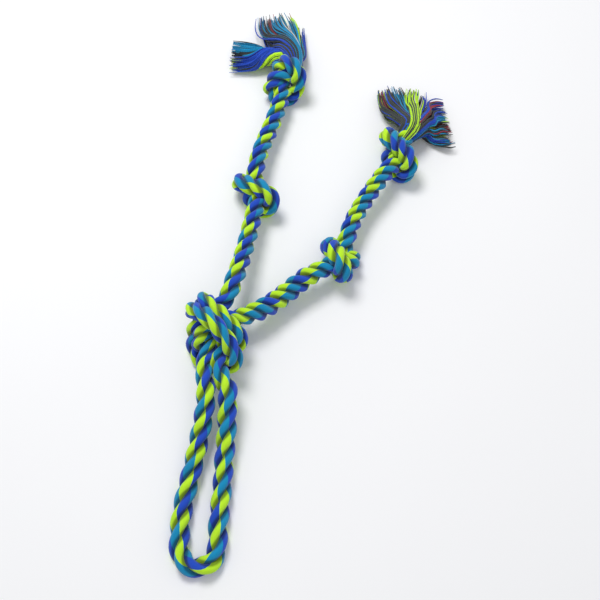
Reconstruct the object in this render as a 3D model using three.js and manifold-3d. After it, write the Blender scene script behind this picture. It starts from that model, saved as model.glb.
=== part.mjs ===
import * as THREE from 'three';
import { mergeVertices } from 'three/addons/utils/BufferGeometryUtils.js';
import Module from 'manifold-3d';

// A tug toy for dogs, tied from one thick rope that is folded in the middle. An overhand knot in the
// doubled rope leaves a handle loop on one side and two arms on the other. Each arm carries two
// overhand knots, and past the second its rope end is unlaid into three tufts.
//
// Millimetres, +Z up. The toy lies on the plane z = 0, with +Y from the handle loop towards the arms.
// The origin is under the lowest turn of the main knot.

// Rope
const ROPE_D = 20;            // free rope
const KNOT_ROPE_D = 14;       // the same rope drawn tight inside a knot
const KNOT_TAPER = 12;        // length over which the rope swells from a knot to its free size
const FLAT_DEPTH = 1.6;       // how far a turn is pressed flat where the toy rests on it
const FREE_FLAT_DEPTH = 2;    // the same for free rope

// Knots
const TURN_GAP = 1.4;         // added to the rope for the pitch of a knot's turns
const LEAD_START = 1.0;       // where a knot's leads start to bend, in turns from its middle
const LEG_GAP = 3;            // between the loop's legs where they leave the main knot

// Free rope between knots
const SPAN_STEP = 16;         // spacing of the points that it passes
const SAG = 5;                // how far it hangs below a level run, half way

// Seats between pieces
const SEAM = 0.3;             // gap between pieces that meet
const RIM_SETBACK = 7;        // from a swinging ball's centre back to the rim that it turns against
const DISH_CLEARANCE = 1.2;   // between that ball and the mouth of its dish
const DISH_FLOOR_R = 4;       // flat floor of the dish

// Tails and tufts
const TAIL_LENGTH = 4;        // laid rope past an end knot, before it is unlaid
const STRAND_GAP = 0.4;       // between the three strands where they part

// Facets
const ROPE_SIDES = 10;
const TUFT_SIDES = 12;
const KNOT_STEP = 5.5;        // ring spacing in a knot
const ROPE_STEP = 10;         // ring spacing on free rope
const TUFT_RINGS = 7;
const CURVE_DIVISIONS = 24;   // of each route span, to measure along it

const UP = new THREE.Vector3(0, 0, 1);
const FREE_R = ROPE_D / 2;
const KNOT_R = KNOT_ROPE_D / 2;
const TURN_PITCH = KNOT_ROPE_D + TURN_GAP;
const STRAND_PITCH = ROPE_D / (1 + 2 / Math.sqrt(3));
const STRAND_R = (STRAND_PITCH - STRAND_GAP) / 2;
const STRAND_RING_R = STRAND_PITCH / Math.sqrt(3);
const REST_Z = FREE_R - FREE_FLAT_DEPTH;
const LEG_X = (ROPE_D + LEG_GAP) / 2;

// Half of an overhand knot, from its middle out to one lead along +x, in turns. The other half is the
// same half turned round the y axis.
const OVERHAND_HALF = [
  [0, 0.95, 0], [-0.2, 0.95, 0.55], [-0.5, 0.7, 1.05], [-0.75, 0.25, 1.25], [-0.95, -0.3, 1.15],
  [-0.95, -0.75, 0.75], [-0.8, -0.95, 0.25], [-0.5, -0.8, -0.25], [-0.1, -0.45, -0.5],
  [0.35, -0.05, -0.4], [0.85, 0.15, -0.25], [1.35, 0.3, -0.2], [1.9, 0.4, -0.15],
];
const LEAD_END = OVERHAND_HALF.at(-1)[0];

// The main knot is an overhand knot in two ropes side by side. Both routes run from an arm to the leg
// of the loop on the same side, in turns from the knot's middle. The legs' ends follow in millimetres.
const MAIN_LEFT = [
  [1.2, 3.4, 0.5], [0.95, 2.65, 0.45], [0.38, 2, 0.38], [-0.21, 1.53, 0.31], [-0.76, 1.06, 0.1],
  [-1.29, 0.65, -0.21], [-1.49, 0.27, -0.82], [-1.53, -0.21, -1.38], [-1.37, -0.83, -1.76],
  [-0.97, -1.45, -1.84], [-0.4, -1.88, -1.64], [0.23, -2.11, -1.31], [0.84, -2.25, -0.91],
  [1.38, -2.23, -0.4], [1.54, -1.98, 0.27], [1.36, -1.56, 0.86], [1.06, -1.1, 1.36],
  [0.64, -0.61, 1.75], [0.17, -0.09, 1.99], [-0.35, 0.45, 1.94], [-0.85, 0.88, 1.6],
  [-1.25, 1.25, 1.09], [-1.52, 1.58, 0.48], [-1.48, 1.7, -0.24], [-1.09, 1.44, -0.8],
  [-0.63, 0.88, -0.92], [-0.33, 0.23, -0.71], [-0.06, -0.4, -0.43], [-0.2, -1.07, -0.17],
  [-0.44, -1.78, -0.11], [-0.62, -2.5, -0.05],
];
const MAIN_RIGHT = [
  [2.4, 1.45, -0.1], [1.72, 1.15, 0.05], [1.05, 0.98, 0.25], [0.43, 0.78, 0.4], [-0.16, 0.32, 0.37],
  [-0.75, -0.1, 0.22], [-1.05, -0.48, -0.33], [-0.81, -0.82, -0.92], [-0.16, -1.01, -1.2],
  [0.57, -0.97, -1.07], [1.27, -0.85, -0.86], [1.78, -0.63, -0.38], [1.8, -0.28, 0.26],
  [1.38, 0.08, 0.76], [0.93, 0.46, 1.22], [0.42, 0.96, 1.39], [-0.1, 1.49, 1.34], [-0.59, 2, 1.11],
  [-0.82, 2.3, 0.49], [-0.63, 2.26, -0.21], [-0.17, 1.87, -0.62], [0.25, 1.26, -0.62],
  [0.6, 0.6, -0.56], [0.84, -0.02, -0.23], [0.86, -0.71, 0.04], [0.7, -1.44, 0.05],
  [0.48, -2.15, 0.05], [0.5, -2.9, 0.1],
];
const LEG_Y = -60;            // where the loop's legs leave the main knot
const LEG_Z = 33;

// Places in plan, with x from midway between the loop's legs. The loop's points have heights over rope
// that rests. A knot's heading is its leads' direction in plan, its roll turns it about them, and its
// bend turns the ends of its inner and outer leads to the left, all in degrees. Its slack is its size
// over that of a knot pulled tight.
const MAIN_AT = [-5.5, 6];
const HANDLE_LOOP = [
  [-12, -73, 22], [-14.5, -92, 16], [-18.5, -112, 10], [-23, -133, 5.5], [-27.5, -154, 2.5],
  [-32, -175, 1], [-35, -196, 0], [-35.5, -212, 0], [-35, -227, 0], [-30.5, -237.5, 0],
  [-23.5, -243, 0], [-15.5, -244.5, 0], [-7.5, -243, 0], [-0.5, -237.5, 0], [4, -227, 0],
  [4.5, -212, 0], [5, -196, 0], [6.5, -175, 1], [8, -154, 2.5], [9, -133, 5.5], [10.5, -112, 10],
  [11.5, -92, 16], [12, -73, 22],
];
const LEFT_ARM = {
  mid: { at: [38, 192.6], heading: 85, roll: 80, bend: [0, 0], slack: 1.03 },
  end: { at: [72.7, 352.9], heading: 65, roll: 185, bend: [0, 50], slack: 1 },
};
const RIGHT_ARM = {
  mid: { at: [136.1, 105.1], heading: 52, roll: 40, bend: [25, 25], slack: 1 },
  end: { at: [210.2, 247.3], heading: 58, roll: 90, bend: [0, 0], slack: 1.1 },
};

// Tufts: a strand's place round the rope's end, in degrees from its right-hand side, and the places
// that the loosened strand passes: in plan from that end, height, half its width and half its thickness.
const LEFT_TUFTS = [
  {
    angle: 205,
    path: [[-21, 9, 24, 5.5, 6], [-40, 14, 14, 12, 9], [-61, 16, 10, 18, 10],
      [-82, 18, 9, 24, 10]],
  },
  {
    angle: 90,
    path: [[-6, 20, 28, 6, 6], [-14, 40, 16, 11, 10], [-21, 62, 11, 16, 12],
      [-26, 85, 10, 20, 11]],
  },
  {
    angle: 335,
    path: [[9, 13, 20, 5, 5], [9, 29, 12, 5.5, 7], [7, 47, 8.5, 6.5, 8],
      [6, 65, 8, 7.5, 8.5]],
  },
];
const RIGHT_TUFTS = [
  {
    angle: 185,
    path: [[-12, 23.5, 20, 5.5, 6], [-19, 38.5, 12, 10, 10], [-23, 54.5, 10, 13, 11],
      [-26, 72.5, 9, 15, 10]],
  },
  {
    angle: 65,
    path: [[5, 24.5, 24, 5.5, 6], [6, 38.5, 14, 8, 10], [8, 53.5, 11, 11, 11],
      [10, 68.5, 9.5, 13, 10]],
  },
  {
    angle: 300,
    path: [[16, 12.5, 17, 5.5, 6], [27, 16.5, 11, 13, 10], [39, 19.5, 9, 20, 10],
      [50, 21.5, 8, 29, 9]],
  },
];

const ROYAL = 0x2f46be;
const LIME = 0xb4ee2c;
const TEAL = 0x1f8cbc;
const GREY = 0x464b4b;

// Lifts routes together until their lowest turn, pressed flat, rests on the floor, and moves them to
// their place.
function setDown(routes, [x, y]) {
  const lowest = routes
    .map((points) => new THREE.CatmullRomCurve3(points, false, 'catmullrom'))
    .flatMap((curve) => curve.getPoints(curve.points.length * CURVE_DIVISIONS))
    .reduce((low, p) => (p.z < low.z ? p : low));
  const move = new THREE.Vector3(x, y, KNOT_R - FLAT_DEPTH - lowest.z);
  routes.flat().forEach((p) => p.add(move));
  return lowest.add(move);
}

// An arm's knot, from its inner lead to its outer one.
function overhand({ at, heading, roll, bend, slack }) {
  const pitch = slack * TURN_PITCH;
  const turned = new THREE.Matrix4().makeRotationZ(THREE.MathUtils.degToRad(heading))
    .multiply(new THREE.Matrix4().makeRotationX(THREE.MathUtils.degToRad(roll)));
  const left = new THREE.Vector3(0, 1, 0).applyAxisAngle(UP, THREE.MathUtils.degToRad(heading));
  const [slopeIn, slopeOut] = bend.map((angle) => Math.tan(THREE.MathUtils.degToRad(angle)));
  const outer = OVERHAND_HALF.map(([x, y, z]) => new THREE.Vector3(x, y, z));
  const inner = OVERHAND_HALF.slice(1).reverse().map(([x, y, z]) => new THREE.Vector3(-x, y, -z));
  const points = [...inner, ...outer].map((p) => {
    const along = Math.max(0, Math.abs(p.x) - LEAD_START);
    const slope = p.x < 0 ? slopeIn : slopeOut;
    const aside = (pitch * slope * along ** 2) / (2 * (LEAD_END - LEAD_START));
    return p.clone().multiplyScalar(pitch).applyMatrix4(turned).addScaledVector(left, aside);
  });
  setDown([points], at);
  return points;
}

// Free rope from one knot to the next: it leaves both along their leads, and sags between them.
function span([start, before], [end, after]) {
  const length = start.distanceTo(end);
  const leaving = start.clone().sub(before).setLength(length);
  const arriving = after.clone().sub(end).setLength(length);
  const count = Math.round(length / SPAN_STEP) - 1;
  return Array.from({ length: count }, (_, i) => {
    const t = (i + 1) / (count + 1);
    const point = new THREE.Vector3()
      .addScaledVector(start, (1 + 2 * t) * (1 - t) ** 2)
      .addScaledVector(leaving, t * (1 - t) ** 2)
      .addScaledVector(end, (3 - 2 * t) * t ** 2)
      .addScaledVector(arriving, (t - 1) * t ** 2);
    point.z -= SAG * (4 * t * (1 - t)) ** 2;
    return point;
  });
}

const vectors = (list) => list.map(([x, y, z]) => new THREE.Vector3(x, y, z));
const laid = (list) => vectors(list).map((p) => p.setZ(p.z + REST_Z));

// An arm from the main knot outwards, and where along it its knots begin and end.
function armRoute(main, arm) {
  const mid = overhand(arm.mid);
  const end = overhand(arm.end);
  const inner = span(main, mid);
  const outer = span([mid.at(-1), mid.at(-2)], end);
  const tail = end.at(-1).clone().sub(end.at(-2)).setLength(2 * TAIL_LENGTH).add(end.at(-1));
  const midIn = inner.length;
  const midOut = midIn + mid.length - 1;
  const endIn = midOut + 1 + outer.length;
  const endOut = endIn + end.length - 1;
  return { points: [...inner, ...mid, ...outer, ...end, tail], midIn, midOut, endIn, endOut };
}

// The main knot rests on its lowest turn.
const mainLeft = vectors(MAIN_LEFT).map((p) => p.multiplyScalar(TURN_PITCH));
const mainRight = vectors(MAIN_RIGHT).map((p) => p.multiplyScalar(TURN_PITCH));
const mainRest = setDown([mainLeft, mainRight], MAIN_AT);
mainLeft.push(new THREE.Vector3(-LEG_X, LEG_Y, LEG_Z));
mainRight.push(new THREE.Vector3(LEG_X, LEG_Y, LEG_Z));

// The whole rope, from the left tail to the right one.
const leftArm = armRoute(mainLeft, LEFT_ARM);
const rightArm = armRoute(mainRight, RIGHT_ARM);
const loop = laid(HANDLE_LOOP);
const route = [
  ...leftArm.points.reverse(), ...mainLeft, ...loop, ...mainRight.reverse(), ...rightArm.points,
];
const toOrigin = new THREE.Vector3(-mainRest.x, -mainRest.y, 0);
route.forEach((p) => p.add(toOrigin));

const rope = new THREE.CatmullRomCurve3(route, false, 'catmullrom');
rope.arcLengthDivisions = (route.length - 1) * CURVE_DIVISIONS;
const ropeLengths = rope.getLengths();
const ropeLength = rope.getLength();
const lengthAt = (index) => ropeLengths[index * CURVE_DIVISIONS];

// Lengths along the rope at which its knots begin and end.
const leftAt = (index) => lengthAt(leftArm.points.length - 1 - index);
const mainAt = leftArm.points.length;
const rightAt = (index) => lengthAt(route.length - rightArm.points.length + index);
const mark = {
  leftEndOut: leftAt(leftArm.endOut), leftEndIn: leftAt(leftArm.endIn),
  leftMidOut: leftAt(leftArm.midOut), leftMidIn: leftAt(leftArm.midIn),
  leftExit: lengthAt(mainAt),
  leftLeg: lengthAt(mainAt + mainLeft.length - 1),
  rightLeg: lengthAt(mainAt + mainLeft.length + loop.length),
  rightExit: lengthAt(route.length - rightArm.points.length - 1),
  rightMidIn: rightAt(rightArm.midIn), rightMidOut: rightAt(rightArm.midOut),
  rightEndIn: rightAt(rightArm.endIn), rightEndOut: rightAt(rightArm.endOut),
};
const KNOTS = [
  ['left_end_knot', mark.leftEndOut + RIM_SETBACK, mark.leftEndIn],
  ['left_mid_knot', mark.leftMidOut + RIM_SETBACK, mark.leftMidIn],
  ['main_knot_left_rope', mark.leftExit + RIM_SETBACK, mark.leftLeg - RIM_SETBACK],
  ['main_knot_right_rope', mark.rightLeg + RIM_SETBACK, mark.rightExit - RIM_SETBACK],
  ['right_mid_knot', mark.rightMidIn, mark.rightMidOut - RIM_SETBACK],
  ['right_end_knot', mark.rightEndIn, mark.rightEndOut - RIM_SETBACK],
];

// The rope's radius at a length along it: drawn in inside each knot.
function radiusAt(s) {
  const depth = Math.max(...KNOTS.map(([, from, to]) => Math.min(s - from, to - s)));
  return THREE.MathUtils.lerp(FREE_R, KNOT_R, THREE.MathUtils.smoothstep(depth, 0, KNOT_TAPER));
}

const wasm = await Module();
wasm.setup();

function toManifold(geometry) {
  const bare = geometry.clone();
  bare.deleteAttribute('normal');
  bare.deleteAttribute('uv');
  const merged = mergeVertices(bare);
  return new wasm.Manifold(new wasm.Mesh({
    numProp: 3,
    vertProperties: new Float32Array(merged.attributes.position.array),
    triVerts: new Uint32Array(merged.index.array),
  }));
}

function toGeometry(manifold) {
  const mesh = manifold.getMesh();
  const geometry = new THREE.BufferGeometry();
  geometry.setAttribute('position', new THREE.BufferAttribute(mesh.vertProperties, 3));
  geometry.setIndex(new THREE.BufferAttribute(mesh.triVerts, 1));
  geometry.computeVertexNormals();
  return geometry;
}

// What would reach under the floor is pressed away.
const pressedFlat = (geometry) => toGeometry(toManifold(geometry).trimByPlane(UP.toArray(), 0));

// Closed skin over rings of points, each ring in the same order, with a middle point at each end.
function skin(rings, startMiddle, endMiddle) {
  const sides = rings[0].length;
  const points = [startMiddle, ...rings.flat(), endMiddle];
  const last = points.length - 1;
  const at = (ring, side) => 1 + ring * sides + (side % sides);
  const index = [];
  for (let side = 0; side < sides; side += 1) {
    index.push(0, at(0, side + 1), at(0, side));
    index.push(last, at(rings.length - 1, side), at(rings.length - 1, side + 1));
    for (let ring = 0; ring < rings.length - 1; ring += 1) {
      index.push(at(ring, side), at(ring, side + 1), at(ring + 1, side + 1));
      index.push(at(ring, side), at(ring + 1, side + 1), at(ring + 1, side));
    }
  }
  const geometry = new THREE.BufferGeometry().setFromPoints(points);
  geometry.setIndex(index);
  return geometry;
}

// A ring of the rope's section: middle, forward direction, a direction across it and its radius.
function roundRing({ middle, across, forward }, radius, along = 0) {
  const side = new THREE.Vector3().crossVectors(forward, across);
  return Array.from({ length: ROPE_SIDES }, (_, k) => {
    const angle = (2 * Math.PI * k) / ROPE_SIDES;
    return middle.clone()
      .addScaledVector(forward, along)
      .addScaledVector(across, radius * Math.cos(angle))
      .addScaledVector(side, radius * Math.sin(angle));
  });
}

// End forms: rings as radius and distance outwards, both from the ball's centre. A ball swings in a
// dish, whose rope stops short of that centre; a flat end meets another.
const DISH_MOUTH_R = Math.sqrt((FREE_R + DISH_CLEARANCE) ** 2 - RIM_SETBACK ** 2);
const DISH_FLOOR = FREE_R + SEAM;
const END_FORMS = {
  flat: { rings: [], middle: 0, reach: 0 },
  ball: {
    rings: [30, 60].map(THREE.MathUtils.degToRad)
      .map((a) => [FREE_R * Math.cos(a), FREE_R * Math.sin(a)]),
    middle: FREE_R,
    reach: 0,
  },
  dish: {
    rings: [[DISH_MOUTH_R, -RIM_SETBACK], [DISH_FLOOR_R, -DISH_FLOOR]],
    middle: -DISH_FLOOR,
    reach: RIM_SETBACK,
  },
};

// The rings and the middle point that close one end of a stretch; direction is 1 at its far end.
function closeEnd(form, s, frame, direction) {
  const centre = rope.getPointAt((s + direction * form.reach) / ropeLength);
  const forward = frame.forward.clone();
  if (form.reach > 0) forward.subVectors(centre, frame.middle).normalize().multiplyScalar(direction);
  const { across: guide } = frame;
  const across = guide.clone().addScaledVector(forward, -guide.dot(forward)).normalize();
  const end = { middle: centre, forward, across };
  const rings = form.rings.map(([r, out]) => roundRing(end, r, direction * out));
  return { rings, middle: centre.clone().addScaledVector(forward, direction * form.middle) };
}

// A stretch of the rope from one length along it to another, as one unbroken tube.
function ropeStretch(from, to, startForm, endForm, step) {
  const count = Math.ceil((to - from) / step);
  const frames = [];
  for (let i = 0; i <= count; i += 1) {
    const s = from + ((to - from) * i) / count;
    const middle = rope.getPointAt(s / ropeLength);
    const forward = rope.getTangentAt(s / ropeLength);
    const guide = i === 0 ? UP : frames[i - 1].across;
    const across = guide.clone().addScaledVector(forward, -guide.dot(forward)).normalize();
    frames.push({ middle, forward, across, radius: radiusAt(s) });
  }
  const start = closeEnd(END_FORMS[startForm], from, frames[0], -1);
  const end = closeEnd(END_FORMS[endForm], to, frames.at(-1), 1);
  const body = frames.map((frame) => roundRing(frame, frame.radius));
  return skin([...start.rings.reverse(), ...body, ...end.rings], start.middle, end.middle);
}

// A strand that is loosened into a tuft: round where it leaves the rope's end, wide and flat at its tip.
function tuft({ angle, path }, face, outwards) {
  const right = new THREE.Vector3().crossVectors(outwards, UP).normalize();
  const over = new THREE.Vector3().crossVectors(right, outwards);
  const turn = THREE.MathUtils.degToRad(angle);
  const root = face.clone()
    .addScaledVector(outwards, SEAM)
    .addScaledVector(right, STRAND_RING_R * Math.cos(turn))
    .addScaledVector(over, STRAND_RING_R * Math.sin(turn));
  const under = new THREE.Vector3(face.x, face.y, 0);
  const centres = [root, ...vectors(path).map((p) => p.add(under))];
  const sizes = [[STRAND_R, STRAND_R], ...path.map(([, , , wide, thick]) => [wide, thick])];
  const course = new THREE.CatmullRomCurve3(centres, false, 'catmullrom');
  const sizeCourse = new THREE.CatmullRomCurve3(
    sizes.map(([wide, thick]) => new THREE.Vector3(wide, thick, 0)), false, 'catmullrom',
  );
  const rings = [];
  for (let i = 0; i < TUFT_RINGS; i += 1) {
    const t = i / (TUFT_RINGS - 1);
    const middle = course.getPoint(t);
    const forward = i === 0 ? outwards : course.getTangent(t);
    const size = sizeCourse.getPoint(t);
    const across = new THREE.Vector3().crossVectors(forward, UP).normalize();
    const upright = new THREE.Vector3().crossVectors(across, forward);
    rings.push(Array.from({ length: TUFT_SIDES }, (_, k) => {
      const a = (2 * Math.PI * k) / TUFT_SIDES;
      return middle.clone()
        .addScaledVector(across, size.x * Math.cos(a))
        .addScaledVector(upright, size.y * Math.sin(a));
    }).reverse());
  }
  return skin(rings, root, centres.at(-1).clone());
}

// The least gap between turns of a knot, measured between points along the rope.
function leastGap(stretches) {
  const GAP_STEP = 1.5;
  const near = 1.6 * ROPE_D;
  const points = stretches.flatMap(([, from, to]) => {
    const count = Math.ceil((to - from) / GAP_STEP);
    return Array.from({ length: count + 1 }, (_, i) => {
      const s = from + ((to - from) * i) / count;
      return { s, place: rope.getPointAt(s / ropeLength), radius: radiusAt(s) };
    });
  });
  let least = Infinity;
  points.forEach((a, i) => points.slice(i + 1).forEach((b) => {
    if (Math.abs(a.s - b.s) < near) return;
    least = Math.min(least, a.place.distanceTo(b.place) - a.radius - b.radius);
  }));
  return least;
}
const knotNamed = (...names) => KNOTS.filter(([name]) => names.includes(name));
const gapReport = [
  ['left end knot', knotNamed('left_end_knot')],
  ['left middle knot', knotNamed('left_mid_knot')],
  ['main knot', knotNamed('main_knot_left_rope', 'main_knot_right_rope')],
  ['right middle knot', knotNamed('right_mid_knot')],
  ['right end knot', knotNamed('right_end_knot')],
];
gapReport.forEach(([label, stretches]) => {
  console.log(`${label}: least gap between its turns ${leastGap(stretches).toFixed(2)} mm`);
});

const toy = new THREE.Group();

function addPiece(name, geometry, color) {
  const material = new THREE.MeshStandardMaterial({ color, roughness: 0.9, metalness: 0 });
  const mesh = new THREE.Mesh(pressedFlat(geometry), material);
  mesh.name = name;
  toy.add(mesh);
}

const m = mark;
const half = SEAM / 2;
const back = RIM_SETBACK;
const PIECES = [
  ['left_tail', m.leftEndOut - TAIL_LENGTH, m.leftEndOut, 'flat', 'ball', ROPE_STEP, TEAL],
  ['left_end_knot', m.leftEndOut + back, m.leftEndIn - half, 'dish', 'flat', KNOT_STEP, ROYAL],
  ['left_outer_rope', m.leftEndIn + half, m.leftMidOut, 'flat', 'ball', ROPE_STEP, TEAL],
  ['left_mid_knot', m.leftMidOut + back, m.leftMidIn - half, 'dish', 'flat', KNOT_STEP, ROYAL],
  ['left_inner_rope', m.leftMidIn + half, m.leftExit, 'flat', 'ball', ROPE_STEP, TEAL],
  ['main_knot_left_rope', m.leftExit + back, m.leftLeg - back, 'dish', 'dish', KNOT_STEP, ROYAL],
  ['handle_loop', m.leftLeg, m.rightLeg, 'ball', 'ball', ROPE_STEP, LIME],
  ['main_knot_right_rope', m.rightLeg + back, m.rightExit - back, 'dish', 'dish', KNOT_STEP, LIME],
  ['right_inner_rope', m.rightExit, m.rightMidIn - half, 'ball', 'flat', ROPE_STEP, TEAL],
  ['right_mid_knot', m.rightMidIn + half, m.rightMidOut - back, 'flat', 'dish', KNOT_STEP, ROYAL],
  ['right_outer_rope', m.rightMidOut, m.rightEndIn - half, 'ball', 'flat', ROPE_STEP, TEAL],
  ['right_end_knot', m.rightEndIn + half, m.rightEndOut - back, 'flat', 'dish', KNOT_STEP, ROYAL],
  ['right_tail', m.rightEndOut, m.rightEndOut + TAIL_LENGTH, 'ball', 'flat', ROPE_STEP, TEAL],
];
PIECES.forEach(([name, from, to, startForm, endForm, step, color]) => {
  addPiece(name, ropeStretch(from, to, startForm, endForm, step), color);
});

function addTufts(side, tufts, s, direction) {
  const face = rope.getPointAt(s / ropeLength);
  const outwards = rope.getTangentAt(s / ropeLength).multiplyScalar(direction);
  const colors = [ROYAL, TEAL, GREY];
  tufts.forEach((item, i) => addPiece(`${side}_tuft_${i + 1}`, tuft(item, face, outwards), colors[i]));
}
addTufts('left', LEFT_TUFTS, m.leftEndOut - TAIL_LENGTH, -1);
addTufts('right', RIGHT_TUFTS, m.rightEndOut + TAIL_LENGTH, 1);

export default toy;
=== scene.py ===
"""Looks of the rope dog toy: three laid strands, five tied knots and frayed tassels."""

import math

import bpy
import numpy as np
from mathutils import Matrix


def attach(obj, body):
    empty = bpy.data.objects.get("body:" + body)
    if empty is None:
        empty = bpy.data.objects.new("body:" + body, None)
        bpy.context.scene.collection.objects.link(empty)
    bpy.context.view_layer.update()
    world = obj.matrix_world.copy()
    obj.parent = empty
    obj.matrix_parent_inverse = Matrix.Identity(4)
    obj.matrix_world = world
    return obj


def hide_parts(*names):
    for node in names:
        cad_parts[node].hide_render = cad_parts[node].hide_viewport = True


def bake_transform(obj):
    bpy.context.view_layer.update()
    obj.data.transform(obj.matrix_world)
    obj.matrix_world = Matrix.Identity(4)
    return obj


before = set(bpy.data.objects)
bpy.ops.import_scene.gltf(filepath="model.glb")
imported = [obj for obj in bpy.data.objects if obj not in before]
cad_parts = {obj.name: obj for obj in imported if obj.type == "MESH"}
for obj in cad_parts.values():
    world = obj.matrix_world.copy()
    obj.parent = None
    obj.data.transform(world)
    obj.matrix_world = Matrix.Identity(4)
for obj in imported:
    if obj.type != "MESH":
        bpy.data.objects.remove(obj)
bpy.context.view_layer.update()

MM = 0.001
UP = np.array([0, 0, 1.0])

# Route of the rope, as in the solids, in millimetres in plan. A knot's points are in pitches of its
# turns, angles are in degrees, and a slack above 1 ties a knot more loosely.
ROPE_D = 20.0
KNOT_ROPE_D = 14.0
FLAT_DEPTH = 1.6
FREE_FLAT_DEPTH = 2.0
TURN_GAP = 1.4
TURN_PITCH = KNOT_ROPE_D + TURN_GAP
LEAD_START = 1.0
LEG_GAP = 3.0
LEG_X = (ROPE_D + LEG_GAP) / 2
LEG_Y = -60.0
LEG_Z = 33.0
SPAN_STEP = 16.0
SAG = 5.0
TAIL_LENGTH = 4.0
REST_Z = ROPE_D / 2 - FREE_FLAT_DEPTH
CURVE_DIVISIONS = 24

OVERHAND_HALF = [
    [0, 0.95, 0], [-0.2, 0.95, 0.55], [-0.5, 0.7, 1.05], [-0.75, 0.25, 1.25],
    [-0.95, -0.3, 1.15], [-0.95, -0.75, 0.75], [-0.8, -0.95, 0.25], [-0.5, -0.8, -0.25],
    [-0.1, -0.45, -0.5], [0.35, -0.05, -0.4], [0.85, 0.15, -0.25], [1.35, 0.3, -0.2],
    [1.9, 0.4, -0.15],
]
MAIN_LEFT = [
    [1.2, 3.4, 0.5], [0.95, 2.65, 0.45], [0.38, 2, 0.38], [-0.21, 1.53, 0.31],
    [-0.76, 1.06, 0.1], [-1.29, 0.65, -0.21], [-1.49, 0.27, -0.82], [-1.53, -0.21, -1.38],
    [-1.37, -0.83, -1.76], [-0.97, -1.45, -1.84], [-0.4, -1.88, -1.64], [0.23, -2.11, -1.31],
    [0.84, -2.25, -0.91], [1.38, -2.23, -0.4], [1.54, -1.98, 0.27], [1.36, -1.56, 0.86],
    [1.06, -1.1, 1.36], [0.64, -0.61, 1.75], [0.17, -0.09, 1.99], [-0.35, 0.45, 1.94],
    [-0.85, 0.88, 1.6], [-1.25, 1.25, 1.09], [-1.52, 1.58, 0.48], [-1.48, 1.7, -0.24],
    [-1.09, 1.44, -0.8], [-0.63, 0.88, -0.92], [-0.33, 0.23, -0.71], [-0.06, -0.4, -0.43],
    [-0.2, -1.07, -0.17], [-0.44, -1.78, -0.11], [-0.62, -2.5, -0.05],
]
MAIN_RIGHT = [
    [2.4, 1.45, -0.1], [1.72, 1.15, 0.05], [1.05, 0.98, 0.25], [0.43, 0.78, 0.4],
    [-0.16, 0.32, 0.37], [-0.75, -0.1, 0.22], [-1.05, -0.48, -0.33], [-0.81, -0.82, -0.92],
    [-0.16, -1.01, -1.2], [0.57, -0.97, -1.07], [1.27, -0.85, -0.86], [1.78, -0.63, -0.38],
    [1.8, -0.28, 0.26], [1.38, 0.08, 0.76], [0.93, 0.46, 1.22], [0.42, 0.96, 1.39],
    [-0.1, 1.49, 1.34], [-0.59, 2, 1.11], [-0.82, 2.3, 0.49], [-0.63, 2.26, -0.21],
    [-0.17, 1.87, -0.62], [0.25, 1.26, -0.62], [0.6, 0.6, -0.56], [0.84, -0.02, -0.23],
    [0.86, -0.71, 0.04], [0.7, -1.44, 0.05], [0.48, -2.15, 0.05], [0.5, -2.9, 0.1],
]
MAIN_AT = (-5.5, 6.0)
HANDLE_LOOP = [
    [-12, -73, 22], [-14.5, -92, 16], [-18.5, -112, 10], [-23, -133, 5.5], [-27.5, -154, 2.5],
    [-32, -175, 1], [-35, -196, 0], [-35.5, -212, 0], [-35, -227, 0], [-30.5, -237.5, 0],
    [-23.5, -243, 0], [-15.5, -244.5, 0], [-7.5, -243, 0], [-0.5, -237.5, 0], [4, -227, 0],
    [4.5, -212, 0], [5, -196, 0], [6.5, -175, 1], [8, -154, 2.5], [9, -133, 5.5],
    [10.5, -112, 10], [11.5, -92, 16], [12, -73, 22],
]
LEFT_ARM = {
    "mid": {"at": (38, 192.6), "heading": 85, "roll": 80, "bend": (0, 0), "slack": 1.03},
    "end": {"at": (72.7, 352.9), "heading": 65, "roll": 185, "bend": (0, 50), "slack": 1.0},
}
RIGHT_ARM = {
    "mid": {"at": (136.1, 105.1), "heading": 52, "roll": 40, "bend": (25, 25), "slack": 1.0},
    "end": {"at": (210.2, 247.3), "heading": 58, "roll": 90, "bend": (0, 0), "slack": 1.1},
}
# A tuft: its strand's place round the rope's end, and the places that it passes, in plan from that
# end, with height, half width and half thickness.
TUFT_PATHS = {
    "left": [
        (205, [[-21, 9, 24, 5.5, 6], [-40, 14, 14, 12, 9],
               [-61, 16, 10, 18, 10], [-82, 18, 9, 24, 10]]),
        (90, [[-6, 20, 28, 6, 6], [-14, 40, 16, 11, 10],
              [-21, 62, 11, 16, 12], [-26, 85, 10, 20, 11]]),
        (335, [[9, 13, 20, 5, 5], [9, 29, 12, 5.5, 7],
               [7, 47, 8.5, 6.5, 8], [6, 65, 8, 7.5, 8.5]]),
    ],
    "right": [
        (185, [[-12, 23.5, 20, 5.5, 6], [-19, 38.5, 12, 10, 10],
               [-23, 54.5, 10, 13, 11], [-26, 72.5, 9, 15, 10]]),
        (65, [[5, 24.5, 24, 5.5, 6], [6, 38.5, 14, 8, 10],
              [8, 53.5, 11, 11, 11], [10, 68.5, 9.5, 13, 10]]),
        (300, [[16, 12.5, 17, 5.5, 6], [27, 16.5, 11, 13, 10],
               [39, 19.5, 9, 20, 10], [50, 21.5, 8, 29, 9]]),
    ],
}


def smooth(x, low, high):
    t = np.clip((x - low) / (high - low), 0, 1)
    return t * t * (3 - 2 * t)


def unit(vector):
    return vector / np.linalg.norm(vector)


def unit_rows(vectors):
    return vectors / np.linalg.norm(vectors, axis=1, keepdims=True)


def step_lengths(line):
    return np.linalg.norm(np.diff(line, axis=0), axis=1)


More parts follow.
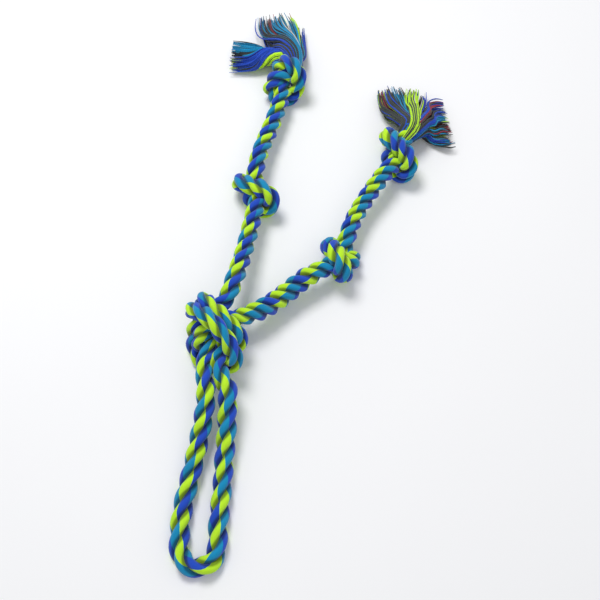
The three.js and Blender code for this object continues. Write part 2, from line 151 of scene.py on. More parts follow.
def interpolate(at, where, values):
    """Values, or rows of them, at places between those where they are given."""
    if values.ndim == 1:
        return np.interp(at, where, values)
    return np.stack([np.interp(at, where, column) for column in values.T], 1)


def spline(points, steps):
    """Uniform Catmull-Rom through the points, with that many steps to a span."""
    p = np.asarray(points, float)
    p = np.vstack([2 * p[0] - p[1], p, 2 * p[-1] - p[-2]])
    a, b, c, d = p[:-3, None], p[1:-2, None], p[2:-1, None], p[3:, None]
    t = (np.arange(steps) / steps)[None, :, None]
    spans = 0.5 * (2 * b + (c - a) * t + (2 * a - 5 * b + 4 * c - d) * t**2
                   + (3 * b - a - 3 * c + d) * t**3)
    return np.vstack([spans.reshape(-1, p.shape[1]), p[-2:-1]])


def set_down(routes, at):
    """Rest the lowest turn of the routes on the floor, at a place; also gives that turn's place."""
    line = np.vstack([spline(points, CURVE_DIVISIONS) for points in routes])
    low = line[line[:, 2].argmin()]
    move = np.array([at[0], at[1], KNOT_ROPE_D / 2 - FLAT_DEPTH - low[2]])
    return [points + move for points in routes], low + move


def turn_x(angle):
    c, s = math.cos(angle), math.sin(angle)
    return np.array([[1, 0, 0], [0, c, -s], [0, s, c]])


def turn_z(angle):
    c, s = math.cos(angle), math.sin(angle)
    return np.array([[c, -s, 0], [s, c, 0], [0, 0, 1]])


def overhand(at, heading, roll, bend, slack):
    """Points of an overhand knot, whose leads bend aside by an angle each."""
    pitch = slack * TURN_PITCH
    half = np.array(OVERHAND_HALF, float)
    points = np.vstack([half[:0:-1] * [-1, 1, -1], half])
    around = turn_z(math.radians(heading))
    along = np.maximum(0, np.abs(points[:, :1]) - LEAD_START)
    lead = half[-1, 0] - LEAD_START
    slope = np.tan(np.radians(np.where(points[:, :1] < 0, *bend)))
    aside = pitch * slope * along**2 / (2 * lead)
    placed = points @ (around @ turn_x(math.radians(roll))).T * pitch
    return set_down([placed + aside * (around @ [0, 1, 0])], at)[0][0]


def span(start, before, end, after):
    """Free rope between two knots: it leaves both along their leads, and sags between them."""
    length = np.linalg.norm(end - start)
    leaving, arriving = unit(start - before) * length, unit(after - end) * length
    count = round(length / SPAN_STEP) - 1
    t = (np.arange(1, count + 1) / (count + 1))[:, None]
    points = ((1 + 2 * t) * (1 - t)**2 * start + t * (1 - t)**2 * leaving
              + (3 - 2 * t) * t**2 * end + (t - 1) * t**2 * arriving)
    return points - SAG * (4 * t * (1 - t))**2 * UP


def arm_route(main, arm):
    """An arm's points from the main knot outwards, and where its knots begin and end."""
    mid, end = overhand(**arm["mid"]), overhand(**arm["end"])
    inner = span(main[0], main[1], mid[0], mid[1])
    outer = span(mid[-1], mid[-2], end[0], end[1])
    tail = end[-1] + unit(end[-1] - end[-2]) * 2 * TAIL_LENGTH
    mid_in = len(inner)
    mid_out = mid_in + len(mid) - 1
    end_in = mid_out + 1 + len(outer)
    end_out = end_in + len(end) - 1
    marks = {"mid_in": mid_in, "mid_out": mid_out, "end_in": end_in, "end_out": end_out}
    return np.vstack([inner, mid, outer, end, tail]), marks


(main_left, main_right), rest_point = set_down(
    [np.array(points) * TURN_PITCH for points in (MAIN_LEFT, MAIN_RIGHT)], MAIN_AT)
main_left = np.vstack([main_left, [-LEG_X, LEG_Y, LEG_Z]])
main_right = np.vstack([main_right, [LEG_X, LEG_Y, LEG_Z]])
left_points, left_marks = arm_route(main_left, LEFT_ARM)
right_points, right_marks = arm_route(main_right, RIGHT_ARM)
loop_points = np.array(HANDLE_LOOP, float) + REST_Z * UP
TO_ORIGIN = np.array([-rest_point[0], -rest_point[1], 0])
route = np.vstack([left_points[::-1], main_left, loop_points, main_right[::-1], right_points])
route = (route + TO_ORIGIN) * MM

# The rope's line, measured along its length from the left tail.
LINE = spline(route, CURVE_DIVISIONS)
ALONG = np.concatenate([[0], np.cumsum(step_lengths(LINE))])


def length_at(index):
    """Length along the rope at a point of its route."""
    return ALONG[index * CURVE_DIVISIONS]


# Lengths along the rope at which its knots, legs and tails begin and end.
n_left, n_right, n_all = len(left_points), len(right_points), len(route)
TAIL = TAIL_LENGTH * MM
MARK = {"left_" + k: length_at(n_left - 1 - v) for k, v in left_marks.items()}
MARK.update({"right_" + k: length_at(n_all - n_right + v) for k, v in right_marks.items()})
MARK["left_exit"] = length_at(n_left)
MARK["left_leg"] = length_at(n_left + len(main_left) - 1)
MARK["right_leg"] = length_at(n_left + len(main_left) + len(loop_points))
MARK["right_exit"] = length_at(n_all - n_right - 1)
MARK["left_tail_end"] = MARK["left_end_out"] - TAIL
MARK["right_tail_end"] = MARK["right_end_out"] + TAIL

# Camera, where the photograph was taken from: above the loop's end, looking down at the arms.
CAMERA_IN_PLAN = np.array([90.3, -399.4, 1034.0])
CAMERA_DOWN = 66.0
CAMERA_LENS = 58.2
CAMERA_SENSOR = 36.0
CAMERA_SEES_TO = 50.0
camera_data = bpy.data.cameras.new("camera")
camera_data.lens = CAMERA_LENS
camera_data.sensor_width = CAMERA_SENSOR
camera_data.clip_end = CAMERA_SEES_TO
camera = bpy.data.objects.new("camera", camera_data)
camera.location = (CAMERA_IN_PLAN + TO_ORIGIN) * MM
camera.rotation_euler = (math.radians(90 - CAMERA_DOWN), 0, 0)
bpy.context.scene.collection.objects.link(camera)
bpy.context.scene.camera = camera

# Even steps along the rope, lightly smoothed, with frames that turn no more than its line does.
STEP = 0.001
S = np.linspace(0, ALONG[-1], int(ALONG[-1] / STEP) + 1)
CENTRE = interpolate(S, ALONG, LINE)
SMOOTHING = np.array([1, 4, 6, 4, 1]) / 16
CENTRE[2:-2] = np.stack([np.convolve(column, SMOOTHING, "valid") for column in CENTRE.T], 1)
TANGENT = unit_rows(np.gradient(CENTRE, axis=0))
NORMAL = np.zeros_like(TANGENT)
guide = UP
for i, t in enumerate(TANGENT):
    guide = unit(guide - t * guide.dot(t))
    NORMAL[i] = guide
BINORMAL = np.cross(TANGENT, NORMAL)


def sample(values, at):
    """Values along the rope, at lengths along it."""
    return interpolate(at, S, values)


# Visible radius of the rope: free, in each knot, and the right inner stretch's looser lay.
FREE_RADIUS = 0.0108
LOOSE_EXTRA = 0.0014
RADIUS_EASE = 0.020
KNOT_RADII = [
    ("left_end_out", "left_end_in", 0.0107), ("left_mid_out", "left_mid_in", 0.0111),
    ("left_exit", "left_leg", 0.0099), ("right_leg", "right_exit", 0.0099),
    ("right_mid_in", "right_mid_out", 0.0113), ("right_end_in", "right_end_out", 0.0114),
]


def within(start, end):
    """1 well inside the stretch between two marks, and 0 outside it."""
    return smooth(np.minimum(S - MARK[start], MARK[end] - S), 0, RADIUS_EASE)


RADIUS = FREE_RADIUS + LOOSE_EXTRA * within("right_exit", "right_mid_in")
for start, end, knot_radius in KNOT_RADII:
    RADIUS += (knot_radius - FREE_RADIUS) * within(start, end)

# Length of one full turn of the strands, in rope diameters, at lengths along the rope.
LAYS = [
    (0.0, 2.4), (MARK["left_end_in"], 2.5), (MARK["left_mid_out"], 2.6),
    (MARK["left_mid_in"], 2.7), (MARK["left_exit"], 3.0), (MARK["left_leg"], 3.2),
    (MARK["left_leg"] + 0.12, 3.6), (MARK["right_leg"] - 0.16, 3.6), (MARK["right_leg"], 3.2),
    (MARK["right_exit"] - 0.05, 2.6), (MARK["right_exit"] + 0.02, 2.3),
    (MARK["right_mid_in"], 2.3), (MARK["right_mid_out"], 2.45), (MARK["right_end_in"], 2.2),
    (ALONG[-1], 2.0),
]
LAY = np.interp(S, *zip(*LAYS)) * ROPE_D * MM
TURN = np.concatenate([[0], np.cumsum(2 * np.pi * np.diff(S) / LAY[1:])])

# Strand sections, in rope radii: middle, half height outwards and half width around the rope.
STRANDS = 3
STRAND_OUT = 0.5
STRAND_HIGH = 0.52
STRAND_WIDE = 0.51
STRAND_SIDES = 20
RING_STEP = 0.0016
FLOOR_SKIN = 0.0002

# Colours turn round a strand twice as fast as the strand turns round the rope. They drift along the
# rope by random steps, of all strands together and of each alone, and the strands' sizes vary.
COLOUR_TURNS = 2
SHARED_STEP = 0.05
SHARED_DRIFT = 0.9
SHARED_SEED = 10
OWN_STEP = 0.045
OWN_DRIFT = 0.6
OWN_SEED = 11
STRAND_OFFSET = 0.3
UNEVEN_STEP = 0.02
UNEVEN_SHARE = 0.025
UNEVEN_RATE = 2
UNEVEN_SEED = 31
WANDER_MARGIN = 2


def wander(scale, seed):
    """Slow random drift along the rope, one value a step."""
    draw = np.random.RandomState(seed)
    places = np.arange(-WANDER_MARGIN, ALONG[-1] / scale + WANDER_MARGIN + 1) * scale
    return np.interp(S, places, np.cumsum(draw.uniform(-1, 1, len(places))))


strand_drift = [wander(SHARED_STEP, SHARED_SEED) * SHARED_DRIFT
                + wander(OWN_STEP, OWN_SEED + k) * OWN_DRIFT + k * STRAND_OFFSET
                for k in range(STRANDS)]
strand_size = [1 + UNEVEN_SHARE * np.sin(wander(UNEVEN_STEP, UNEVEN_SEED + k) * UNEVEN_RATE)
               for k in range(STRANDS)]


def with_caps(values):
    """Values of a tube's rings, with those of its end faces after them."""
    return np.concatenate([values.reshape(-1, *values.shape[2:]), values[0], values[-1]])


def tubes_piece(name, tubes, attributes, material):
    """Tubes over rings of points, with end faces of their own, and values at the same points."""
    verts, faces, first = [], [], 0
    for rings in tubes:
        count, sides = rings.shape[:2]
        k = np.arange(sides)
        start = first + np.arange(count - 1)[:, None] * sides
        quads = np.stack([start + k, start + (k + 1) % sides,
                          start + sides + (k + 1) % sides, start + sides + k], -1)
        cap = first + count * sides + k
        faces += quads.reshape(-1, 4).tolist() + [cap[::-1].tolist(), (cap + sides).tolist()]
        verts.append(with_caps(rings))
        first += len(verts[-1])
    mesh = bpy.data.meshes.new(name)
    mesh.from_pydata(np.vstack(verts).tolist(), [], faces)
    for key, (kind, field, rows) in attributes.items():
        values = np.concatenate([with_caps(row) for row in rows])
        layer = mesh.attributes.new(key, kind, "POINT")
        layer.data.foreach_set(field, np.ascontiguousarray(values, np.float32).ravel())
    mesh.polygons.foreach_set("use_smooth", np.ones(len(mesh.polygons), bool))
    mesh.materials.append(material)
    mesh.update()
    piece = bpy.data.objects.new(name, mesh)
    bpy.context.scene.collection.objects.link(piece)
    return piece


def rope_piece(name, start, end, material):
    """The three strands between two lengths along the rope."""
    count = max(2, math.ceil((end - start) / RING_STEP) + 1)
    at = np.linspace(start, end, count)
    centre, normal, binormal = sample(CENTRE, at), sample(NORMAL, at), sample(BINORMAL, at)
    radius, turn = sample(RADIUS, at), sample(TURN, at)
    beta = 2 * np.pi * np.arange(STRAND_SIDES) / STRAND_SIDES
    tubes, lays, crowns = [], [], []
    for k in range(STRANDS):
        angle = turn + 2 * np.pi * k / STRANDS
        size = radius * sample(strand_size[k], at)
        out = STRAND_OUT * radius[:, None] + STRAND_HIGH * size[:, None] * np.cos(beta)
        side = STRAND_WIDE * size[:, None] * np.sin(beta)
        c, s = np.cos(angle)[:, None], np.sin(angle)[:, None]
        x, y = out * c - side * s, out * s + side * c
        rings = centre[:, None] + x[..., None] * normal[:, None] + y[..., None] * binormal[:, None]
        rings[..., 2] = np.maximum(rings[..., 2], FLOOR_SKIN)
        colour = beta + COLOUR_TURNS * angle[:, None] + sample(strand_drift[k], at)[:, None]
        lay = np.broadcast_arrays(np.cos(colour), np.sin(colour), at[:, None])
        tubes.append(rings)
        lays.append(np.stack(lay, -1))
        # crown, how far a strand's surface faces out, drives the painted shade in the grooves of
        # the rope's material.
        crowns.append(np.broadcast_to(np.cos(beta), (count, STRAND_SIDES)))
    return tubes_piece(name, tubes, {
        "lay": ("FLOAT_VECTOR", "vector", lays),
        "crown": ("FLOAT", "value", crowns)}, material)


class Nodes:
    """A new material, and short hand for making its nodes."""

    def __init__(self, name):
        self.material = bpy.data.materials.new(name)
        self.material.use_nodes = True
        self.tree = self.material.node_tree
        self.tree.nodes.clear()

    def add(self, kind, inputs=(), **settings):
        node = self.tree.nodes.new(kind)
        for key, value in settings.items():
            setattr(node, key, value)
        for key, value in dict(inputs).items():
            if isinstance(value, bpy.types.NodeSocket):
                self.tree.links.new(value, node.inputs[key])
            else:
                node.inputs[key].default_value = value
        return node

    def attribute(self, name):
        return self.add("ShaderNodeAttribute", attribute_name=name).outputs

    def position(self):
        return self.add("ShaderNodeTexCoord").outputs["Object"]

    def noise(self, vector, scale, detail=2.0, roughness=0.5):
        node = self.add("ShaderNodeTexNoise", {
            "Vector": vector, "Scale": scale, "Detail": detail, "Roughness": roughness})
        return node.outputs["Fac"]

    def math(self, operation, a, b=0.0, c=0.0):
        node = self.add("ShaderNodeMath", {0: a, 1: b, 2: c}, operation=operation)
        return node.outputs[0]

    def surface(self, inputs):
        shader = self.add("ShaderNodeBsdfPrincipled", inputs)
        self.add("ShaderNodeOutputMaterial", {"Surface": shader.outputs[0]})
        return self.material


def linear(code):
    """Linear colour of a six-digit web colour."""
    parts = [int(code[i:i + 2], 16) / 255 for i in (0, 2, 4)]
    parts = [c / 12.92 if c <= 0.04045 else ((c + 0.055) / 1.055) ** 2.4 for c in parts]
    return (*parts, 1.0)


ROYAL = linear("1f4dc2")
LIME = linear("c0f22c")
TEAL = linear("0f8dbe")
DYES = [ROYAL, LIME, TEAL]

# Cotton of the rope and of loose yarn. A scale is in noise cells a metre, a tone is how far a thing
# changes the colour's value, and a relief is its share of the bump.
BASE_TONE = 0.72
BUMP_STRENGTH = 0.5
COTTON = {"Specular IOR Level": 0.2, "Sheen Weight": 0.25, "Sheen Roughness": 0.5}
YARNS_ROUND_STRAND = 30.0
EDGE_SCALE = 260.0
EDGE_JITTER = 0.03
FIBRES_ALONG = 70.0
FIBRE_SCALE = 1.6
FIBRE_DETAIL = 4.0
FIBRE_ROUGHNESS = 0.65
FIBRE_TONE = 0.34
FIBRE_RELIEF = 0.8
# Painted shade between yarns: each yarn's crown is lighter than the creases beside it.
RIDGE_SHADE_TONE = 0.08
RIDGE_RELIEF = 0.6
BLOTCH_SCALE = 45.0
BLOTCH_TONE = 0.2
# Painted shade in the grooves between strands: the colour's value drops where a strand's surface
# faces in.
GROOVE_BELOW = 0.05
GROOVE_ABOVE = 0.65
GROOVE_SHADE_TONE = 0.36
ROPE_BUMP = 0.0004
ROPE_ROUGHNESS = 0.88
FLUFF_SCALE = 900.0
FLUFF_DETAIL = 3.0
FLUFF_TONE = 0.5
PLIES = 2.0
PLY_RATE = 2600.0
# Painted shade along the ply twist: the colour darkens in the twist's creases and lightens on its
# crowns.
PLY_SHADE_TONE = 0.08
PLY_RELIEF = 0.5
YARN_BUMP = 0.0003
YARN_ROUGHNESS = 0.9


def cotton(n, colour, tone, height, depth, roughness):
    """Matt cotton of a colour and tone, with a bump and a little sheen."""
    toned = n.add("ShaderNodeHueSaturation", {"Color": colour, "Value": tone})
    bump = n.add("ShaderNodeBump", {
        "Height": height, "Strength": BUMP_STRENGTH, "Distance": depth})
    return n.surface({"Base Color": toned.outputs[0], "Normal": bump.outputs[0],
                      "Roughness": roughness, **COTTON})


def rope_material():
    n = Nodes("cotton_rope")
    cos, sin, length = n.add(
        "ShaderNodeSeparateXYZ", {0: n.attribute("lay")["Vector"]}).outputs
    position = n.position()
    edge = n.noise(position, EDGE_SCALE)
    turned = n.math("MULTIPLY_ADD", n.math("ARCTAN2", sin, cos),
                    1 / (2 * math.pi), 1 + 0.5 / len(DYES))
    jitter = n.math("MULTIPLY_ADD", edge, EDGE_JITTER, -EDGE_JITTER / 2)
    share = n.math("FRACT", n.math("ADD", turned, jitter))
    ramp = n.add("ShaderNodeValToRGB", {"Fac": share})
    ramp.color_ramp.interpolation = "CONSTANT"
    ramp.color_ramp.elements[0].color = ROYAL
    ramp.color_ramp.elements[1].position = 1 / len(DYES)
    ramp.color_ramp.elements[1].color = LIME
    ramp.color_ramp.elements.new(2 / len(DYES)).color = TEAL
    yarn = n.math("MULTIPLY", share, YARNS_ROUND_STRAND)
    ridge = n.math("ABSOLUTE", n.math("SINE", n.math("MULTIPLY", yarn, math.pi)))
    run = n.add("ShaderNodeCombineXYZ", {
        "X": yarn, "Y": n.math("MULTIPLY", length, FIBRES_ALONG)})
    fibre = n.noise(run.outputs[0], FIBRE_SCALE, FIBRE_DETAIL, FIBRE_ROUGHNESS)
    blotch = n.noise(position, BLOTCH_SCALE)
    tone = n.math("MULTIPLY_ADD", fibre, FIBRE_TONE, BASE_TONE)
    # Painted shade: lighter on each yarn's crown, darker in the creases between yarns.
    tone = n.math("ADD", tone, n.math("MULTIPLY", ridge, RIDGE_SHADE_TONE))
    tone = n.math("ADD", tone, n.math("MULTIPLY_ADD", blotch, BLOTCH_TONE, -BLOTCH_TONE / 2))
    # Painted shade: the strands' colour darkens in the grooves between them, where the crown value
    # is low.
    groove_shade = n.add("ShaderNodeMapRange", {
        "Value": n.attribute("crown")["Fac"], "From Min": GROOVE_BELOW, "From Max": GROOVE_ABOVE,
        "To Min": GROOVE_SHADE_TONE, "To Max": 1.0}, interpolation_type="SMOOTHSTEP")
    tone = n.math("MULTIPLY", tone, groove_shade.outputs[0])
    height = n.math("ADD", n.math("MULTIPLY", ridge, RIDGE_RELIEF),
                    n.math("MULTIPLY", fibre, FIBRE_RELIEF))
    return cotton(n, ramp.outputs["Color"], tone, height, ROPE_BUMP, ROPE_ROUGHNESS)


def yarn_material():
    n = Nodes("cotton_yarn")
    cos, sin, length = n.add(
        "ShaderNodeSeparateXYZ", {0: n.attribute("ply")["Vector"]}).outputs
    fluff = n.noise(n.position(), FLUFF_SCALE, FLUFF_DETAIL)
    twist = n.math("SINE", n.math("MULTIPLY_ADD", n.math("ARCTAN2", sin, cos), PLIES,
                                  n.math("MULTIPLY", length, PLY_RATE)))
    tone = n.math("MULTIPLY_ADD", fluff, FLUFF_TONE, BASE_TONE)
    # Painted shade: the yarn's colour darkens and lightens along its ply twist.
    tone = n.math("ADD", tone, n.math("MULTIPLY", twist, PLY_SHADE_TONE))
    height = n.math("ADD", n.math("MULTIPLY", twist, PLY_RELIEF), fluff)
    colour = n.attribute("yarn_colour")["Color"]
    return cotton(n, colour, tone, height, YARN_BUMP, YARN_ROUGHNESS)


ROPE = rope_material()
YARN = yarn_material()

# Rope pieces: node, the marks that it lies between, and its body.
PIECES = [
    ("left_tail", "left_tail_end", "left_end_out", "left_tassel"),
    ("left_end_knot", "left_end_out", "left_end_in", "left_outer"),
    ("left_outer_rope", "left_end_in", "left_mid_out", "left_outer"),
    ("left_mid_knot", "left_mid_out", "left_mid_in", "left_arm"),
    ("left_inner_rope", "left_mid_in", "left_exit", "left_arm"),
    ("main_knot_left_rope", "left_exit", "left_leg", "main_knot"),
    ("handle_loop", "left_leg", "right_leg", "handle_loop"),
    ("main_knot_right_rope", "right_leg", "right_exit", "main_knot"),
    ("right_inner_rope", "right_exit", "right_mid_in", "right_arm"),
    ("right_mid_knot", "right_mid_in", "right_mid_out", "right_arm"),
    ("right_outer_rope", "right_mid_out", "right_end_in", "right_outer"),
    ("right_end_knot", "right_end_in", "right_end_out", "right_outer"),
    ("right_tail", "right_end_out", "right_tail_end", "right_tassel"),
]
# Bends: piece, the body that carries it, and the marks where it leaves that body, with how far
# along the rope from there the bend is done. Here these pieces are only left free of any body, with
# their places baked in.
ARM_BEND = 0.06
LOOP_BEND = 0.07
BENDS = {
    "left_tail": ("left_outer", [("left_end_out", -TAIL)]),
    "left_outer_rope": ("left_arm", [("left_mid_out", -ARM_BEND)]),
    "left_inner_rope": ("main_knot", [("left_exit", -ARM_BEND)]),
    "handle_loop": ("main_knot", [("left_leg", LOOP_BEND), ("right_leg", -LOOP_BEND)]),
    "right_inner_rope": ("main_knot", [("right_exit", ARM_BEND)]),
    "right_outer_rope": ("right_arm", [("right_mid_out", ARM_BEND)]),
    "right_tail": ("right_outer", [("right_end_out", TAIL)]),
}
for node, start_mark, end_mark, body in PIECES:
    start, end = MARK[start_mark], MARK[end_mark]
    piece = rope_piece("rope_" + node, start, end, ROPE)
    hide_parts(node)
    if node in BENDS:
        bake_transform(piece)
    else:
        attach(piece, body)

# Tassels: the yarns of the unlaid strands. Dyed yarns lie round a core of scrap yarn, keep some of
# their strand's twist, and gather in locks. Dyed is the share of a tuft's outer yarns that is dyed,
# colour_turn and twist are in full turns, and root_width is how much wider than its solid a tuft
# leaves the knot.
GREY = linear("3c4242")
RED = linear("9c2f40")
WHITE = linear("dcdcd4")
DYED = np.array(DYES)
SCRAP = np.array([GREY, RED, WHITE, TEAL, ROYAL, LIME])
SCRAP_SHARES = (0.76, 0.08, 0.03, 0.03, 0.05, 0.05)
TUFT_LOOKS = {
    "left": [
        {"yarns": 340, "colour_turn": 0.75, "twist": 0.5, "dyed": 0.85, "root_width": 1.7},
        {"yarns": 380, "colour_turn": 0.58, "twist": 0.2, "dyed": 0.65, "root_width": 2.6},
        {"yarns": 90, "colour_turn": 0.2, "twist": 0.1, "dyed": 0.4, "root_width": 1.4},
    ],
    "right": [
        {"yarns": 360, "colour_turn": 0.8, "twist": 0.05, "dyed": 0.1, "root_width": 2.3},
        {"yarns": 240, "colour_turn": 0.2, "twist": 0.1, "dyed": 0.85, "root_width": 1.7},
        {"yarns": 400, "colour_turn": 0.75, "twist": 0.2, "dyed": 0.5, "root_width": 2.7},
    ],
}
TUFT_SEED = 500
TUFT_SEED_STEP = 10
TUFT_DIVISIONS = 12
STRAND_PITCH = ROPE_D / (1 + 2 / math.sqrt(3)) * MM

# A tuft's shape: how deep it starts in the knot, and how wide it is there and at its tip, how thick
# it is and how much of that its yarns fill, as shares of its solid's size.
ROOT_DEPTH = 0.026
ROOT_WIDTH = 0.75
TIP_WIDTH = 1.05
THICKNESS = 0.9
FILL = 0.94

# Locks and strays. Places in a tuft's section are on a disc of radius 1, and a reach is a share of
# the tuft's length.
CORE_SHARE = 0.45
LOCKS = 11
LOCK_SPREAD = 0.95
LOCK_JITTER = 0.2
LOCK_REACH = (0.84, 1.0)
LOCK_WIDTH = 0.45
TIP_JITTER = 0.1
REACH_JITTER = (-0.09, 0.05)
STRAY_SHARE = 0.08
STRAY_SPREAD = np.array([1.25, 1.1])
SCRAP_BUNDLES = 30
BUNDLED_SHARE = 0.75
SECTOR_JITTER = 0.04
TINTS = (0.8, 1.15)

# A yarn: where along it it fans out, comes loose and thins, as shares of a length, the size of its
# waves with their rate in radians a tuft, and how far above the floor it lies, in its own radii.
GOLDEN_TURN = math.pi * (3 - math.sqrt(5))
YARN_SIDES = 5
YARN_RINGS = 18
YARN_R = 0.00075
YARN_SIZES = (0.85, 1.2)
FAN_RUN = (0.05, 0.95)
LOOSE_RUN = (0.15, 0.8)
THIN_RUN = (0.8, 1.0)
THINNING = 0.55
WAVE_SIZES = (0.0002, 0.0006)
WAVE_RATES = (6, 16)
REST_LEAST = 1.1
REST_EXTRA = 0.8
PLY_LENGTH = 0.08
SIDE_GUIDE = [0.3, 0.2, 1.0]
YARN_TURN = 2 * np.pi * np.arange(YARN_SIDES) / YARN_SIDES


def disc(count):
    """Places spread evenly over a disc of radius 1."""
    i = np.arange(count)
    out = np.sqrt((i + 0.5) / count)
    return np.stack([out * np.cos(i * GOLDEN_TURN), out * np.sin(i * GOLDEN_TURN)], 1)


def nearest(places, spot):
    return np.linalg.norm(places - spot, axis=1).argmin()


def tuft_course(angle, places, root_width, face, outwards):
    """Rows along a tuft, from inside the knot: place, directions across and up, half sizes."""
    right = unit(np.cross(outwards, UP))
    over = np.cross(right, outwards)
    spin = math.radians(angle)
    ring = STRAND_PITCH / math.sqrt(3)
    root = face + right * ring * math.cos(spin) + over * ring * math.sin(spin)
    under = np.array([face[0], face[1], 0])
    centres = np.vstack([root - outwards * ROOT_DEPTH, root, places[:, :3] + under])
    half = STRAND_PITCH / 2
    wider = np.linspace(root_width, TIP_WIDTH, len(places))[:, None]
    sizes = np.vstack([[half * ROOT_WIDTH] * 2, [half * root_width] * 2,
                       places[:, 3:] * [1, THICKNESS] * wider])
    line, size = spline(centres, TUFT_DIVISIONS), spline(sizes, TUFT_DIVISIONS)
    tangent = unit_rows(np.gradient(line, axis=0))
    across = unit_rows(np.cross(tangent, UP))
    return np.hstack([line, across, np.cross(across, tangent), size])


def yarn_line(draw, course, t, spot, tip, twist):
    """A yarn's points: it fans out from its spot to its tip, untwists on the way, and waves."""
    loose = smooth(t, *LOOSE_RUN)
    wave = draw.uniform(*WAVE_SIZES) * loose
    rate = draw.uniform(*WAVE_RATES, 2)
    phase = draw.uniform(0, 2 * np.pi, 2)
    rows = interpolate(t, np.linspace(0, 1, len(course)), course)
    place, across, upright, size = np.split(rows, [3, 6, 9], axis=1)
    x, y = (spot + (tip - spot) * smooth(t, *FAN_RUN)[:, None]).T
    lag = -2 * np.pi * twist * (1 - loose)
    turned = np.stack([x * np.cos(lag) - y * np.sin(lag), x * np.sin(lag) + y * np.cos(lag)], 1)
    aside = size * FILL * turned + wave[:, None] * np.sin(rate * t[:, None] + phase)
    line = place + across * aside[:, :1] + upright * aside[:, 1:]
    line[:, 2] = np.maximum(line[:, 2], YARN_R * (REST_LEAST + REST_EXTRA * draw.rand()))
    return line


def yarn_rings(line, thick):
    """Rings of points round a yarn's line."""
    forward = unit_rows(np.gradient(line, axis=0))
    first = unit_rows(np.cross(forward, SIDE_GUIDE))
    second = np.cross(forward, first)
    c, s = np.cos(YARN_TURN)[None, :, None], np.sin(YARN_TURN)[None, :, None]
    return line[:, None] + thick[:, None, None] * (c * first[:, None] + s * second[:, None])


def yarn_tint(draw, spot, looks, bundles, bundle_scrap):
    """Colour of the yarn that starts at a spot of its tuft's section."""
    x, y = spot
    if x**2 + y**2 > CORE_SHARE and draw.rand() < looks["dyed"]:
        sector = math.atan2(y, x) / (2 * math.pi) + looks["colour_turn"]
        sector += draw.uniform(-SECTOR_JITTER, SECTOR_JITTER)
        tint = DYED[int(sector % 1 * len(DYED))]
    elif draw.rand() < BUNDLED_SHARE:
        tint = SCRAP[bundle_scrap[nearest(bundles, spot)]]
    else:
        tint = SCRAP[draw.choice(len(SCRAP), p=SCRAP_SHARES)]
    return np.append(tint[:3] * draw.uniform(*TINTS), 1.0)


def tuft_piece(name, side, which, face, outwards, material):
    """The yarns of one unlaid strand."""
    angle, places = TUFT_PATHS[side][which]
    looks = TUFT_LOOKS[side][which]
    draw = np.random.RandomState(TUFT_SEED + TUFT_SEED_STEP * which + (side == "right"))
    course = tuft_course(angle, np.array(places, float) * MM, looks["root_width"], face, outwards)
    spots, locks, bundles = disc(looks["yarns"]), disc(LOCKS), disc(SCRAP_BUNDLES)
    lock_tips = locks * LOCK_SPREAD + draw.uniform(-LOCK_JITTER, LOCK_JITTER, locks.shape)
    lock_reach = draw.uniform(*LOCK_REACH, LOCKS)
    bundle_scrap = draw.choice(len(SCRAP), SCRAP_BUNDLES, p=SCRAP_SHARES)
    tubes, tints, plies = [], [], []
    for i, spot in enumerate(spots):
        lock = nearest(locks, spot)
        tip = (lock_tips[lock] + LOCK_WIDTH * (spot - locks[lock])
               + draw.uniform(-TIP_JITTER, TIP_JITTER, 2))
        reach = min(1.0, lock_reach[lock] + draw.uniform(*REACH_JITTER))
        if draw.rand() < STRAY_SHARE:
            tip, reach = tip * STRAY_SPREAD, 1.0
        t = np.linspace(0, reach, YARN_RINGS)
        line = yarn_line(draw, course, t, spot, tip, looks["twist"])
        thick = YARN_R * draw.uniform(*YARN_SIZES) * (1 - THINNING * smooth(t / t[-1], *THIN_RUN))
        tint = yarn_tint(draw, spot, looks, bundles, bundle_scrap)
        ply = np.broadcast_arrays(
            np.cos(YARN_TURN), np.sin(YARN_TURN), t[:, None] * PLY_LENGTH + i)
        tubes.append(yarn_rings(line, thick))
        tints.append(np.broadcast_to(tint, (YARN_RINGS, YARN_SIDES, len(tint))))
        plies.append(np.stack(ply, -1))
    return tubes_piece(name, tubes, {
        "yarn_colour": ("FLOAT_COLOR", "color", tints),
        "ply": ("FLOAT_VECTOR", "vector", plies)}, material)


for side, direction in (("left", -1), ("right", 1)):
    at = np.array([MARK[side + "_tail_end"]])
    face = sample(CENTRE, at)[0]
    outwards = unit(sample(TANGENT, at)[0]) * direction
    for which in range(STRANDS):
        node = f"{side}_tuft_{which + 1}"
        piece = tuft_piece("yarn_" + node, side, which, face, outwards, YARN)
        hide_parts(node)
        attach(piece, side + "_tassel")

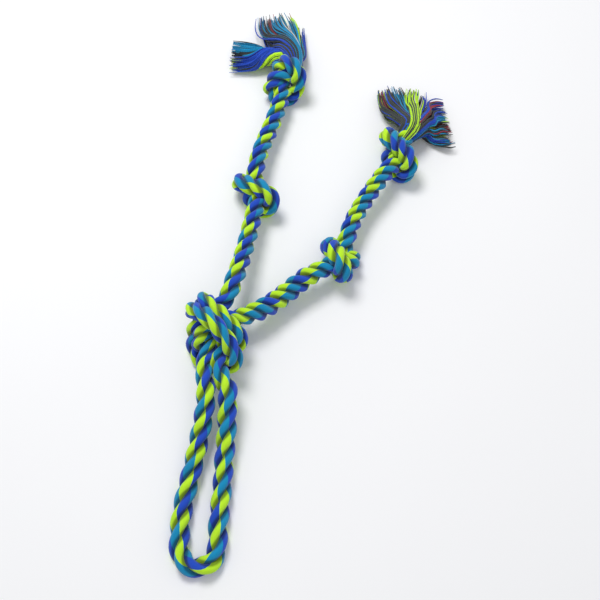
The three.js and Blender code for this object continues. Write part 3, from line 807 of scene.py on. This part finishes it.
# Floor and light.
FLOOR = 12.0
FLOOR_GRAIN = 3.0
FLOOR_COLOURS = [(0.9, 0.9, 0.91, 1), (0.93, 0.93, 0.94, 1)]
MIX_FACTOR, MIX_A, MIX_B, MIX_RESULT = 0, 6, 7, 2
corners = [(-FLOOR, -FLOOR, 0), (FLOOR, -FLOOR, 0), (FLOOR, FLOOR, 0), (-FLOOR, FLOOR, 0)]
floor_mesh = bpy.data.meshes.new("floor")
floor_mesh.from_pydata(corners, [], [(0, 1, 2, 3)])
floor = bpy.data.objects.new("floor", floor_mesh)
bpy.context.scene.collection.objects.link(floor)
paper = Nodes("floor_paper")
grain = paper.noise(paper.position(), FLOOR_GRAIN)
shade = paper.add("ShaderNodeMix", {
    MIX_FACTOR: grain, MIX_A: FLOOR_COLOURS[0], MIX_B: FLOOR_COLOURS[1]}, data_type="RGBA")
floor_mesh.materials.append(paper.surface({
    "Base Color": shade.outputs[MIX_RESULT], "Roughness": 0.8, "Specular IOR Level": 0.1}))

WORLD_COLOUR = (0.97, 0.98, 1.0, 1)
WORLD_STRENGTH = 0.5
world = bpy.data.worlds.new("studio")
bpy.context.scene.world = world
world.use_nodes = True
background = world.node_tree.nodes["Background"].inputs
background["Color"].default_value = WORLD_COLOUR
background["Strength"].default_value = WORLD_STRENGTH


def softbox(name, at, aim, size, power):
    """A round soft lamp that faces its aim."""
    data = bpy.data.lights.new(name, "AREA")
    data.shape = "DISK"
    data.size = size
    data.energy = power
    light = bpy.data.objects.new(name, data)
    light.location = at
    away = unit(np.array(at, float) - np.array(aim, float))
    tilt = math.atan2(math.hypot(away[0], away[1]), away[2])
    light.rotation_euler = (tilt, 0, math.atan2(away[1], away[0]) + math.pi / 2)
    bpy.context.scene.collection.objects.link(light)


softbox("key_light", at=(-0.3, 0.85, 1.7), aim=(0.08, 0.1, 0), size=0.8, power=21.5)
softbox("fill_light", at=(0.6, -0.9, 1.7), aim=(0.05, 0.1, 0), size=1.4, power=4.0)
bpy.context.scene.view_settings.view_transform = "Standard"
